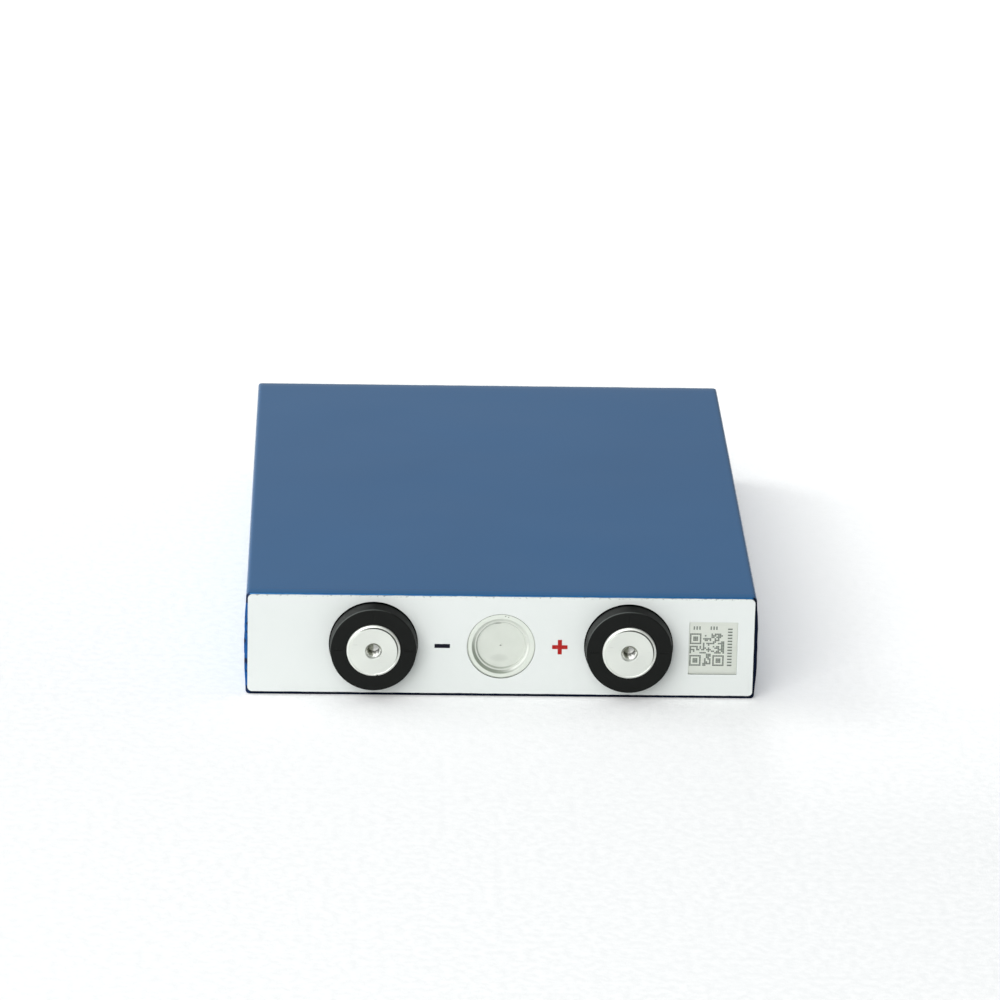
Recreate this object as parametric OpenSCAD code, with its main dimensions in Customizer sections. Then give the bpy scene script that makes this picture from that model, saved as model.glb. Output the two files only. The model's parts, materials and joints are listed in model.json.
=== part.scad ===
// Prismatic lithium iron phosphate cell, lying on a wide face.
//
// Row frame: X is the cell's width, +Z is its thickness, and the terminals face -Y.
// The origin is the centre of the wide face that the cell rests on.
//
// Every piece is drawn standing up, in the cell's own frame, and laid() turns it down:
// x runs along the width, y through the thickness and z up from the bottom end.

/* [Cell body] */
// Width over the blue film
body_w = 135.3; // [120:0.1:160]
// Thickness over the blue film
body_t = 28.5; // [28.5:0.1:45]
// Length from the bottom sheet to the top sheet, without the terminals
body_h = 184; // [120:1:240]
// Radius of the long edges
edge_r = 1; // [0.6:0.1:2]

/* [Film and sheets] */
// Thickness of the blue film
film_t = 0.15; // [0.1:0.01:0.2]
// Width of the film folded over the terminal end
top_lip = 2; // [1.5:0.1:2]
// Width of the film folded over the bottom end
bottom_lip = 5; // [3:0.5:8]
// Width of the band where the film overlaps itself on one narrow side
seam_w = 5.4; // [3:0.1:8]
// Height of that band over the film
seam_t = 0.1; // [0.05:0.01:0.15]
// Thickness of the white end sheets
sheet_t = 0.4; // [0.3:0.05:0.6]
// Radius of the top sheet's corners
top_sheet_r = 1.2; // [0.5:0.1:2]
// Radius of the bottom sheet's corners
bottom_sheet_r = 1.6; // [0.5:0.1:2.5]
// Gap from the top sheet to each narrow side
top_sheet_side = 0.5; // [0.3:0.1:2]
// Gap from the top sheet to the resting face
top_sheet_low = 0.9; // [0.3:0.1:1.5]
// Gap from the top sheet to the upper wide face
top_sheet_high = 0.3; // [0.1:0.1:1.5]
// Gap from the bottom sheet to each side of the cell
bottom_sheet_gap = 1.6; // [0.5:0.1:2.5]

/* [Terminals] */
// Distance between the two terminals
pitch = 67.7; // [50:0.1:80]
// How far the terminals stand off the cell's middle plane, away from the resting face
terminal_rise = 0.4; // [0:0.1:0.5]
// Outside diameter of the black insulator at its base
ring_d = 23.3; // [20:0.1:23.4]
// How much narrower the insulator is at its face, on each side
ring_draft = 0.3; // [0:0.05:0.5]
// Height of the insulator over the top sheet
ring_up = 5; // [3:0.1:6]
// Diameter of the aluminium terminal
boss_d = 14.2; // [12:0.1:16]
// Height of the terminal over its insulator
boss_up = 0.7; // [0.3:0.1:2]
// Chamfer round the terminal's face
boss_chamfer = 0.6; // [0.2:0.1:1]
// Minor diameter of the M4 thread
thread_d = 3.24; // [3.2:0.01:3.4]
// Depth of the threaded hole
thread_depth = 5; // [3.5:0.1:5]
// Diameter of the countersink at its mouth
countersink_d = 4.5; // [4.1:0.1:5.5]

/* [Vent and window] */
// Diameter of the clear vent cover
cover_d = 17.8; // [17:0.1:20]
// Width of the window that shows the etched lid
window_w = 12.9; // [8:0.1:16]
// Height of that window
window_h = 14.8; // [8:0.1:20]
// Distance from the cell's middle to the window's middle
window_x = 56.3; // [54:0.1:58]
// Distance from the cell's middle to each polarity mark
mark_x = 15.6; // [14:0.1:17]
// Length of a polarity mark
mark_size = 4.1; // [2:0.1:5]
// Width of a polarity mark's strokes
mark_stroke = 1.1; // [0.5:0.1:1.5]

/* [Inside] */
// Thickness of the can's walls
wall_t = 0.8; // [0.6:0.05:1]
// Thickness of the can's floor
floor_t = 1.5; // [1:0.1:2.5]
// Thickness of the lid plate
lid_t = 2; // [2:0.1:2.5]
// Width of each electrode roll
roll_w = 127; // [100:1:128]
// Thickness of each electrode roll
roll_t = 12.4; // [11:0.1:12.5]
// Room between the lid and the rolls
head_room = 12; // [11:0.5:20]

/* [Hidden] */
$fn = 96;

// Gap between pieces that slide together when the cell is put together
fit = 0.05;
// How far a cutting shape runs past the face that it cuts
over = 1;

mid = body_t / 2;
terminal_x = pitch / 2;

// Levels, from the bottom end up
case_bottom = sheet_t + film_t;
lid_top = body_h - sheet_t - film_t;
lid_bottom = lid_top - lid_t;
roll_top = lid_bottom - head_room;

// The can
case_w = body_w - 2 * film_t;
case_t = body_t - 2 * film_t;
case_r = edge_r - film_t;
rim_t = wall_t - 0.2;
lid_r = 0.6;
cavity_w = case_w - 2 * wall_t;
cavity_t = case_t - 2 * wall_t;
cavity_r = 0.5;

// The terminals, measured up from the lid
ring_base_t = 0.6;
ring_top = film_t + sheet_t + ring_up;
boss_top = ring_top + boss_up;
boss_flange_t = 1.2;
boss_flange_r = boss_d / 2 + 1.5;
ring_chamfer = 0.25;
tick_w = 0.3;
tick_depth = 0.1;
tick_from = 8;
tick_to = 10.4;
countersink_depth = (countersink_d - thread_d) / 2;

// Under the lid, measured down from its underside
post_r = 4;
post_head_r = 7.5;
post_head_t = 1.5;
seal_r = 5;
seal_flange_r = 6.5;
insulator_t = 1.2;
collector_t = 1;
collector_l = 40;
collector_d = 19;
collector_drop = insulator_t + post_head_t + collector_t;
insulator_from = 10;
insulator_to = 65;
insulator_d = 25;
leg_w = 3;
leg_d = 20;

// The vent, measured from the lid's outer face
cover_flange_t = 0.4;
cover_step_r = cover_d / 2 - 1.25;
cover_floor_r = cover_step_r - 1.15;
cover_skin = 0.3;
cover_step_z = -0.2;
cover_floor_z = -0.8;
vent_pocket_r = cover_step_r + 0.1;
vent_pocket_depth = 1.5;
vent_hole_r = 6.2;
vent_disc_t = 0.2;
score_r = 4.5;
score_w = 0.4;

// The filling hole
fill_x = 15.6;
fill_hole_r = 1.5;
fill_cap_r = 4;
fill_cap_t = 0.5;

// Tabs, bag, pad and tapes
tab_w = 30;
tab_t = 0.8;
tab_reach = 5;
bag_gap = 0.3;
bag_t = 0.2;
bag_r = 1.5;
pad_t = 1;
pad_gap = 0.6;
pad_slot_w = 4;
pad_slot_l = 30;
roll_gap = 0.1;
core_slit = 0.5;
tape_t = 0.06;
tape_w = 20;
mark_t = 0.05;
bag_floor = case_bottom + floor_t + pad_t;
roll_bottom = bag_floor + bag_t;

// Lays the standing cell down on its wide face, terminals towards -Y.
module laid() {
    translate([0, body_h / 2, 0]) rotate([90, 0, 0]) children();
}

// A flat rectangle with rounded corners, centred.
module rounded_rect(w, t, r) {
    square([w - 2 * r, t], center = true);
    square([w, t - 2 * r], center = true);
    for (x = [-1, 1], y = [-1, 1])
        translate([x * (w / 2 - r), y * (t / 2 - r)]) circle(r);
}

// An upright block with rounded corners, centred in the cell, from z0 up to z1.
module block(w, t, r, z0, z1) {
    translate([0, mid, z0]) linear_extrude(z1 - z0) rounded_rect(w, t, r);
}

// A plain box given by its centre line and two levels.
module bar(w, t, x, y, z0, z1) {
    translate([x, y, (z0 + z1) / 2]) cube([w, t, z1 - z0], center = true);
}

// Puts its children at the lid's outer face, at x along the width.
module on_lid(x) {
    translate([x, mid, lid_top]) children();
}

// The place of the negative (side = -1) or positive (side = 1) terminal.
module at_terminal(side) {
    translate([side * terminal_x, mid + terminal_rise, lid_top]) children();
}

// ---- Film, sheets and marks ----

module outer_film() {
    color([0.05, 0.22, 0.55]) laid() {
        difference() {
            block(body_w, body_t, edge_r, sheet_t, body_h - sheet_t);
            block(case_w, case_t, case_r, case_bottom, lid_top);
            block(body_w - 2 * bottom_lip, body_t - 2 * bottom_lip, edge_r, 0, mid);
            block(body_w - 2 * top_lip, body_t - 2 * top_lip, edge_r, body_h - mid, body_h);
        }
        // The film's second layer, on the narrow side at -X
        bar(seam_t + film_t, seam_w, -body_w / 2 - (seam_t - film_t) / 2, mid, case_bottom, lid_top);
    }
}

// What the top sheet leaves open: terminals, vent cover and code window.
module top_openings() {
    for (side = [-1, 1])
        at_terminal(side) cylinder(r = ring_d / 2 + 2 * fit, h = 2 * over, center = true);
    on_lid(0) cylinder(r = cover_d / 2 + fit, h = 2 * over, center = true);
    bar(window_w, window_h, window_x, mid, lid_top - over, body_h + over);
}

// A sheet's glue, which fills the step inside the folded film.
module glue(lip, z0, z1) {
    inset = 2 * (lip + fit);
    block(body_w - inset, body_t - inset, edge_r, z0, z1);
}

module top_sheet() {
    sheet_h = body_t - top_sheet_low - top_sheet_high;
    rise = (top_sheet_low - top_sheet_high) / 2;
    color([0.93, 0.95, 0.95]) laid() difference() {
        union() {
            translate([0, rise, 0])
                block(body_w - 2 * top_sheet_side, sheet_h, top_sheet_r, body_h - sheet_t, body_h);
            glue(top_lip, lid_top, body_h - sheet_t);
        }
        top_openings();
    }
}

module bottom_sheet() {
    w = body_w - 2 * bottom_sheet_gap;
    t = body_t - 2 * bottom_sheet_gap;
    color([0.93, 0.95, 0.95]) laid() {
        block(w, t, bottom_sheet_r, 0, sheet_t);
        glue(bottom_lip, sheet_t, case_bottom);
    }
}

module negative_mark() {
    color([0.05, 0.05, 0.12]) laid()
        bar(mark_size, mark_stroke, -mark_x, mid, body_h, body_h + mark_t);
}

module positive_mark() {
    color([0.70, 0.08, 0.15]) laid() {
        bar(mark_size, mark_stroke, mark_x, mid, body_h, body_h + mark_t);
        bar(mark_stroke, mark_size, mark_x, mid, body_h, body_h + mark_t);
    }
}

// ---- Can, lid, vent and filling hole ----

module can() {
    color([0.80, 0.81, 0.82]) laid() difference() {
        block(case_w, case_t, case_r, case_bottom, lid_top);
        block(cavity_w, cavity_t, cavity_r, case_bottom + floor_t, lid_top + over);
        block(case_w - 2 * rim_t, case_t - 2 * rim_t, lid_r, lid_bottom, lid_top + over);
    }
}

module lid_plate() {
    lid_w = case_w - 2 * rim_t - 2 * fit;
    lid_d = case_t - 2 * rim_t - 2 * fit;
    color([0.82, 0.83, 0.82]) laid() difference() {
        block(lid_w, lid_d, lid_r - fit, lid_bottom, lid_top);
        for (side = [-1, 1])
            at_terminal(side) cylinder(r = seal_r + fit, h = 3 * lid_t, center = true);
        on_lid(0) cylinder(r = vent_hole_r, h = 3 * lid_t, center = true);
        on_lid(0) cylinder(r = vent_pocket_r, h = 2 * vent_pocket_depth, center = true);
        on_lid(fill_x) cylinder(r = fill_hole_r, h = 3 * lid_t, center = true);
        on_lid(fill_x) cylinder(r = fill_cap_r + fit, h = 2 * fill_cap_t, center = true);
    }
}

// The burst disc, scored so that it opens along a ring.
module vent_disc() {
    color([0.78, 0.79, 0.80]) laid() on_lid(0)
    translate([0, 0, -vent_pocket_depth]) difference() {
        cylinder(r = vent_pocket_r - fit, h = vent_disc_t);
        translate([0, 0, vent_disc_t / 2]) difference() {
            cylinder(r = score_r + score_w / 2, h = over);
            cylinder(r = score_r - score_w / 2, h = over);
        }
    }
}

// The clear cover over the vent: a flange, a step and a sunken floor.
module vent_cover() {
    color([0.86, 0.89, 0.86, 0.6]) laid() on_lid(0) rotate_extrude() polygon([
        [0, cover_floor_z],
        [cover_floor_r, cover_floor_z],
        [cover_floor_r, cover_step_z],
        [cover_step_r - cover_skin, cover_step_z],
        [cover_step_r - cover_skin, cover_flange_t],
        [cover_d / 2, cover_flange_t],
        [cover_d / 2, 0],
        [cover_step_r, 0],
        [cover_step_r, cover_step_z - cover_skin],
        [cover_floor_r + cover_skin, cover_step_z - cover_skin],
        [cover_floor_r + cover_skin, cover_floor_z - cover_skin],
        [0, cover_floor_z - cover_skin]
    ]);
}

module fill_plug() {
    plug_h = lid_t - fill_cap_t;
    color([0.25, 0.25, 0.25]) laid() on_lid(fill_x) translate([0, 0, -lid_t])
        cylinder(r = fill_hole_r - fit, h = plug_h);
}

module fill_cap() {
    color([0.80, 0.81, 0.82]) laid() on_lid(fill_x) translate([0, 0, -fill_cap_t])
        cylinder(r = fill_cap_r, h = fill_cap_t);
}

// ---- Terminals ----

// A turned terminal with a captive flange and a blind threaded hole.
module terminal(side) {
    face_r = boss_d / 2;
    hole_bottom = boss_top - thread_depth;
    at_terminal(side) rotate_extrude() polygon([
        [0, ring_base_t],
        [boss_flange_r, ring_base_t],
        [boss_flange_r, ring_base_t + boss_flange_t],
        [face_r, ring_base_t + boss_flange_t],
        [face_r, boss_top - boss_chamfer],
        [face_r - boss_chamfer, boss_top],
        [countersink_d / 2, boss_top],
        [thread_d / 2, boss_top - countersink_depth],
        [thread_d / 2, hole_bottom],
        [0, hole_bottom]
    ]);
}

// The moulded insulator round a terminal, drawn in towards its face, with two shallow ticks.
module ring(side) {
    face_r = ring_d / 2 - ring_draft;
    clear_z = ring_base_t + boss_flange_t + fit;
    at_terminal(side) difference() {
        rotate_extrude() polygon([
            [post_r + fit, 0],
            [ring_d / 2, 0],
            [face_r, ring_top - ring_chamfer],
            [face_r - ring_chamfer, ring_top],
            [boss_d / 2 + fit, ring_top],
            [boss_d / 2 + fit, clear_z],
            [boss_flange_r + fit, clear_z],
            [boss_flange_r + fit, ring_base_t],
            [post_r + fit, ring_base_t]
        ]);
        for (x = [-1, 1])
            translate([x * (tick_from + tick_to) / 2, 0, ring_top])
                cube([tick_to - tick_from, tick_w, 2 * tick_depth], center = true);
    }
}

// The rivet through the lid that carries the current to the terminal.
module post(side) {
    at_terminal(side) {
        translate([0, 0, -lid_t - insulator_t])
            cylinder(r = post_r, h = lid_t + insulator_t + ring_base_t);
        translate([0, 0, -lid_t - insulator_t - post_head_t])
            cylinder(r = post_head_r, h = post_head_t);
    }
}

// The sealing sleeve between a post and the lid, with a flange under the lid.
module seal(side) {
    at_terminal(side) rotate_extrude() polygon([
        [post_r + fit, 0],
        [seal_r, 0],
        [seal_r, -lid_t],
        [seal_flange_r, -lid_t],
        [seal_flange_r, -lid_t - insulator_t],
        [post_r + fit, -lid_t - insulator_t]
    ]);
}

module negative_terminal() { color([0.88, 0.89, 0.87]) laid() terminal(-1); }
module positive_terminal() { color([0.88, 0.89, 0.87]) laid() terminal(1); }
module negative_ring() { color([0.13, 0.14, 0.14]) laid() ring(-1); }
module positive_ring() { color([0.13, 0.14, 0.14]) laid() ring(1); }
module negative_post() { color([0.78, 0.45, 0.28]) laid() post(-1); }
module positive_post() { color([0.80, 0.81, 0.82]) laid() post(1); }
module negative_seal() { color([0.20, 0.20, 0.20]) laid() seal(-1); }
module positive_seal() { color([0.20, 0.20, 0.20]) laid() seal(1); }

// ---- Under the lid ----

// The plate that keeps a collector off the lid. Two legs rest on the rolls.
module inner_insulator(side) {
    plate_l = insulator_to - insulator_from;
    centre_x = side * (insulator_from + insulator_to) / 2;
    plate_bottom = lid_bottom - insulator_t;
    difference() {
        bar(plate_l, insulator_d, centre_x, mid, plate_bottom, lid_bottom);
        at_terminal(side) translate([0, 0, -lid_t])
            cylinder(r = seal_flange_r + fit, h = 4 * insulator_t, center = true);
    }
    for (x = [insulator_to - leg_w / 2, insulator_from + leg_w / 2])
        bar(leg_w, leg_d, side * x, mid, roll_top, plate_bottom);
}

// A collector plate, welded to the head of its post.
module collector(side) {
    collector_top = lid_bottom - collector_drop + collector_t;
    translate([side * terminal_x, mid, collector_top - collector_t])
        linear_extrude(collector_t) rounded_rect(collector_l, collector_d, 2);
}

// The gathered foils of both rolls, each folded under the collector.
module tabs(side) {
    tab_top = lid_bottom - collector_drop;
    for (way = [-1, 1]) {
        y = mid + way * (roll_t + roll_gap) / 2;
        bar(tab_w, tab_t, side * terminal_x, y, roll_top, tab_top);
        bar(tab_w, tab_reach, side * terminal_x, y - way * tab_reach / 2, tab_top - tab_t, tab_top);
    }
}

module negative_inner_insulator() { color([0.90, 0.90, 0.88]) laid() inner_insulator(-1); }
module positive_inner_insulator() { color([0.90, 0.90, 0.88]) laid() inner_insulator(1); }
module negative_collector() { color([0.78, 0.45, 0.28]) laid() collector(-1); }
module positive_collector() { color([0.80, 0.81, 0.82]) laid() collector(1); }
module negative_tabs() { color([0.78, 0.45, 0.28]) laid() tabs(-1); }
module positive_tabs() { color([0.80, 0.81, 0.82]) laid() tabs(1); }

// ---- Rolls, tapes, bag and pad ----

// A flattened winding round a thin slit, where its mandrel was drawn out.
module roll(way) {
    roll_l = roll_top - roll_bottom;
    translate([0, mid + way * (roll_t + roll_gap) / 2, roll_bottom]) linear_extrude(roll_l)
        difference() {
            rounded_rect(roll_w, roll_t, roll_t / 2 - fit);
            rounded_rect(roll_w - roll_t, core_slit, core_slit / 2 - fit);
        }
}

module lower_roll() { color([0.22, 0.22, 0.24]) laid() roll(-1); }
module upper_roll() { color([0.22, 0.22, 0.24]) laid() roll(1); }

// Two bands of tape that hold the pair of rolls together.
module roll_tapes() {
    pair_t = 2 * roll_t + roll_gap;
    outer_r = roll_t / 2 - fit;
    color([0.10, 0.45, 0.30]) laid()
        for (z = [roll_bottom + tape_w, roll_top - 2 * tape_w])
            difference() {
                block(roll_w + 2 * tape_t, pair_t + 2 * tape_t, outer_r + tape_t, z, z + tape_w);
                block(roll_w, pair_t, outer_r, z - over, z + tape_w + over);
            }
}

// The film bag that keeps the rolls off the can.
module insulation_bag() {
    w = cavity_w - 2 * bag_gap;
    t = cavity_t - 2 * bag_gap;
    color([0.75, 0.80, 0.85]) laid() difference() {
        block(w, t, bag_r, bag_floor, roll_top);
        block(w - 2 * bag_t, t - 2 * bag_t, bag_r - bag_t, roll_bottom, roll_top + over);
    }
}

// The pad under the bag, slotted so that electrolyte drains back to the rolls.
module bottom_pad() {
    floor_z = case_bottom + floor_t;
    color([0.90, 0.90, 0.88]) laid() difference() {
        block(cavity_w - 2 * pad_gap, cavity_t - 2 * pad_gap, bag_r, floor_z, floor_z + pad_t);
        for (side = [-1, 1])
            bar(pad_slot_l, pad_slot_w, side * pad_slot_l, mid, floor_z - over, floor_z + pad_t + over);
    }
}

outer_film();
top_sheet();
bottom_sheet();
negative_mark();
positive_mark();
can();
lid_plate();
vent_disc();
vent_cover();
fill_plug();
fill_cap();
negative_terminal();
positive_terminal();
negative_ring();
positive_ring();
negative_post();
positive_post();
negative_seal();
positive_seal();
negative_inner_insulator();
positive_inner_insulator();
negative_collector();
positive_collector();
negative_tabs();
positive_tabs();
lower_roll();
upper_roll();
roll_tapes();
insulation_bag();
bottom_pad();
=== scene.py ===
"""Looks of a prismatic battery cell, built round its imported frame.

Shapes are worked out in millimetres and become metres when their mesh is made.
Row frame: +X runs along the cell's width, the terminals face -Y, and +Z is up through its thickness.
Pieces that sit on the lid are drawn in their own frame: local +Z is out of the lid, local +Y is up.
"""

import json
import math
import random

import bmesh
import bpy
from mathutils import Matrix, Vector, noise


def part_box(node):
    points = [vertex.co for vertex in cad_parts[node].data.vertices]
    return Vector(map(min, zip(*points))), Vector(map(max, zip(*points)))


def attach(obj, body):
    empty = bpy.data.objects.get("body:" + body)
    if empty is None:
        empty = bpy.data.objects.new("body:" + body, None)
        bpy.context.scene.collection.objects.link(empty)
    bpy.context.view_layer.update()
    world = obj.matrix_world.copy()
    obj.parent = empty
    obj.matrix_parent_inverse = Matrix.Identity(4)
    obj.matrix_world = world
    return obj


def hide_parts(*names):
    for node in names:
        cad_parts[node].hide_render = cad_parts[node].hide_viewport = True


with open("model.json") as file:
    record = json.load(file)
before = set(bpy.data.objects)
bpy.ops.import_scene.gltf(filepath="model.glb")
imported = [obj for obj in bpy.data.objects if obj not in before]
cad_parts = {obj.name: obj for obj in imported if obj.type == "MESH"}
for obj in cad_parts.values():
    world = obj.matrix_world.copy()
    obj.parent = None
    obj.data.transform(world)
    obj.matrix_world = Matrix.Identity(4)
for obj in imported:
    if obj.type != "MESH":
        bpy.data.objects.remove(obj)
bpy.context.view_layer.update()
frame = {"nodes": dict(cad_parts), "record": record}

MM = 0.001


# ---- Driving dimensions, read from the frame, in millimetres ----

def box_mm(node):
    """A CAD node's lowest and highest corners in millimetres."""
    low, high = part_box(node)
    return low / MM, high / MM


FILM_LOW, FILM_HIGH = box_mm("outer_film")
BODY_W = 2 * FILM_HIGH.x
BODY_T = FILM_HIGH.z
END_Y = FILM_HIGH.y
MID_Z = BODY_T / 2
SEAM_T = -FILM_LOW.x - FILM_HIGH.x
LID_Y = box_mm("lid_plate")[0].y
SHEET_LOW, SHEET_HIGH = box_mm("top_sheet")
BOTTOM_HIGH = box_mm("bottom_sheet")[1]
FILM_T = LID_Y + END_Y
SHEET_T = BOTTOM_HIGH.y - END_Y

RING_LOW, RING_HIGH = box_mm("negative_ring")
RING_R = (RING_HIGH.x - RING_LOW.x) / 2
RING_TOP = LID_Y - RING_LOW.y
TERMINAL_X = -(RING_HIGH.x + RING_LOW.x) / 2
TERMINAL_RISE = (RING_HIGH.z + RING_LOW.z) / 2 - MID_Z
BOSS_LOW, BOSS_HIGH = box_mm("negative_terminal")
BOSS_TOP = LID_Y - BOSS_LOW.y
BOSS_BASE = LID_Y - BOSS_HIGH.y
FLANGE_R = (BOSS_HIGH.x - BOSS_LOW.x) / 2
COVER_R = box_mm("vent_cover")[1].x
COVER_TOP = LID_Y - box_mm("vent_cover")[0].y
SHEET_TOP = FILM_T + SHEET_T

# Sizes that no node's box gives
EDGE_R = 1.0
TOP_FOLD_R = 0.30
BOTTOM_FOLD_R = 0.45
TOP_LIP = 2.0
BOTTOM_LIP = 5.0
SEAM_W = 5.4
CUT_Y = END_Y - 18.3
TOP_SHEET_R = 1.2
BOTTOM_SHEET_R = 1.6
BOTTOM_SHEET_GAP = 1.6
WINDOW_X = 56.3
WINDOW_W = 12.9
WINDOW_H = 14.8
RING_DRAFT = 0.3
RING_GAP = 0.17
COVER_GAP = 0.16
BORE_GAP = 0.05
BOSS_R = 7.1
RIM_DROP = 0.42
STEP_R = 6.42
STEP_DEPTH = 0.16
POST_HOLE_R = 4.05
COUNTERSINK_R = 2.25
THREAD_R = 1.62
THREAD_MAJOR_R = 1.95
THREAD_PITCH = 0.7
THREAD_DEPTH = 5.0
FLANGE_T = 1.2


# ---- Shader helpers ----

def srgb(red, green, blue):
    """A colour as a photographer would name it, in 0 to 255, turned into linear light."""
    def linear(value):
        share = value / 255
        if share <= 0.04045:
            return share / 12.92
        return ((share + 0.055) / 1.055) ** 2.4
    return (linear(red), linear(green), linear(blue), 1)


class Shader:
    """One material's node tree, with short calls for the nodes used here. Lengths are in millimetres."""

    def __init__(self, name):
        self.material = bpy.data.materials.new(name)
        self.material.use_nodes = True
        self.tree = self.material.node_tree
        self.surface = self.tree.nodes["Principled BSDF"]
        place = self.add("TexCoord").outputs["Object"]
        self.place = self.vector("SCALE", place, scale=1 / MM)
        split = self.add("SeparateXYZ", Vector=self.place)
        self.x, self.y, self.z = split.outputs

    def fill(self, socket, value):
        if isinstance(value, bpy.types.NodeSocket):
            self.tree.links.new(value, socket)
        else:
            socket.default_value = value

    def add(self, kind, settings=(), **inputs):
        """Adds a node with its settings and inputs. An underscore in an input's name is a space."""
        node = self.tree.nodes.new("ShaderNode" + kind)
        for name, value in dict(settings).items():
            setattr(node, name, value)
        for name, value in inputs.items():
            self.fill(node.inputs[name.replace("_", " ")], value)
        return node

    def vector(self, operation, first, second=None, scale=None):
        node = self.add("VectorMath", {"operation": operation})
        self.fill(node.inputs[0], first)
        if second is not None:
            self.fill(node.inputs[1], second)
        if scale is not None:
            self.fill(node.inputs["Scale"], scale)
        return node.outputs["Value" if operation == "LENGTH" else "Vector"]

    def math(self, operation, *values):
        node = self.add("Math", {"operation": operation})
        for socket, value in zip(node.inputs, values):
            self.fill(socket, value)
        return node.outputs[0]

    def times(self, *values):
        """The product of the values."""
        product = values[0]
        for value in values[1:]:
            product = self.math("MULTIPLY", product, value)
        return product

    def most(self, *values):
        """The largest of the values."""
        largest = values[0]
        for value in values[1:]:
            largest = self.math("MAXIMUM", largest, value)
        return largest

    def from_axis(self):
        """The distance from the local Z axis."""
        return self.vector("LENGTH", self.vector("MULTIPLY", self.place, (1, 1, 0)))

    def remap(self, value, start, end, low=0.0, high=1.0):
        """A smooth step of value from start to end, giving low to high."""
        node = self.add("MapRange", {"interpolation_type": "SMOOTHSTEP"})
        for socket, number in zip(node.inputs, (value, start, end, low, high)):
            self.fill(socket, number)
        return node.outputs[0]

    def noise(self, size, detail=2.0, stretch=(1, 1, 1), shift=0.0):
        """Soft noise from 0 to 1. Its features measure about size millimetres, times stretch on each axis."""
        scale = [1 / (size * part) for part in stretch]
        place = self.vector("MULTIPLY", self.place, scale)
        place = self.vector("ADD", place, (shift, shift, shift))
        return self.add("TexNoise", Vector=place, Scale=1.0, Detail=detail).outputs["Fac"]

    def specks(self, size, share, shift=0.0):
        """Specks about size millimetres apart, with a radius of up to that share of size."""
        place = self.vector("SCALE", self.place, scale=1 / size)
        place = self.vector("ADD", place, (shift, shift, shift))
        cells = self.add("TexVoronoi", Vector=place, Scale=1.0)
        return self.remap(cells.outputs["Distance"], share, share * 0.6)

    def mix(self, factor, first, second):
        """The first colour where factor is 0, turning into the second where it is 1."""
        node = self.add("Mix", {"data_type": "RGBA"})
        self.fill(node.inputs["Factor"], factor)
        self.fill(node.inputs[6], first)
        self.fill(node.inputs[7], second)
        return node.outputs[2]

    def band(self, value, centre, width, soft):
        """1 where value is within half of width of centre, fading to 0 over the distance soft."""
        away = self.math("ABSOLUTE", self.math("SUBTRACT", value, centre))
        return self.remap(away, width / 2 + soft, width / 2)

    def spot(self, x, y, w, h, soft):
        """1 inside an ellipse w by h millimetres round (x, y), with edges that fade over the share soft."""
        across = self.math("DIVIDE", self.math("SUBTRACT", self.x, x), w / 2)
        along = self.math("DIVIDE", self.math("SUBTRACT", self.y, y), h / 2)
        square = self.math("ADD", self.times(across, across), self.times(along, along))
        return self.remap(square, 1 + soft, 1 - soft)

    def toward(self, x, y, start, end):
        """Rises from 0 to 1 towards the side of the local Z axis that the unit vector (x, y) points to."""
        flat = self.vector("NORMALIZE", self.vector("MULTIPLY", self.place, (1, 1, 0)))
        split = self.add("SeparateXYZ", Vector=flat)
        across = self.times(split.outputs["X"], x)
        along = self.times(split.outputs["Y"], y)
        return self.remap(self.math("ADD", across, along), start, end)

    def bump(self, *layers):
        """Surface relief from (height, depth in millimetres) layers, each on top of the one before."""
        normal = None
        for height, depth in layers:
            node = self.add("Bump", Height=height, Distance=depth * MM)
            if normal is not None:
                self.fill(node.inputs["Normal"], normal)
            normal = node.outputs["Normal"]
        self.fill(self.surface.inputs["Normal"], normal)

    def finish(self, **inputs):
        """Sets the surface's inputs and gives the material back."""
        for name, value in inputs.items():
            self.fill(self.surface.inputs[name.replace("_", " ")], value)
        return self.material


# ---- Materials of the pieces that show ----

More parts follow.
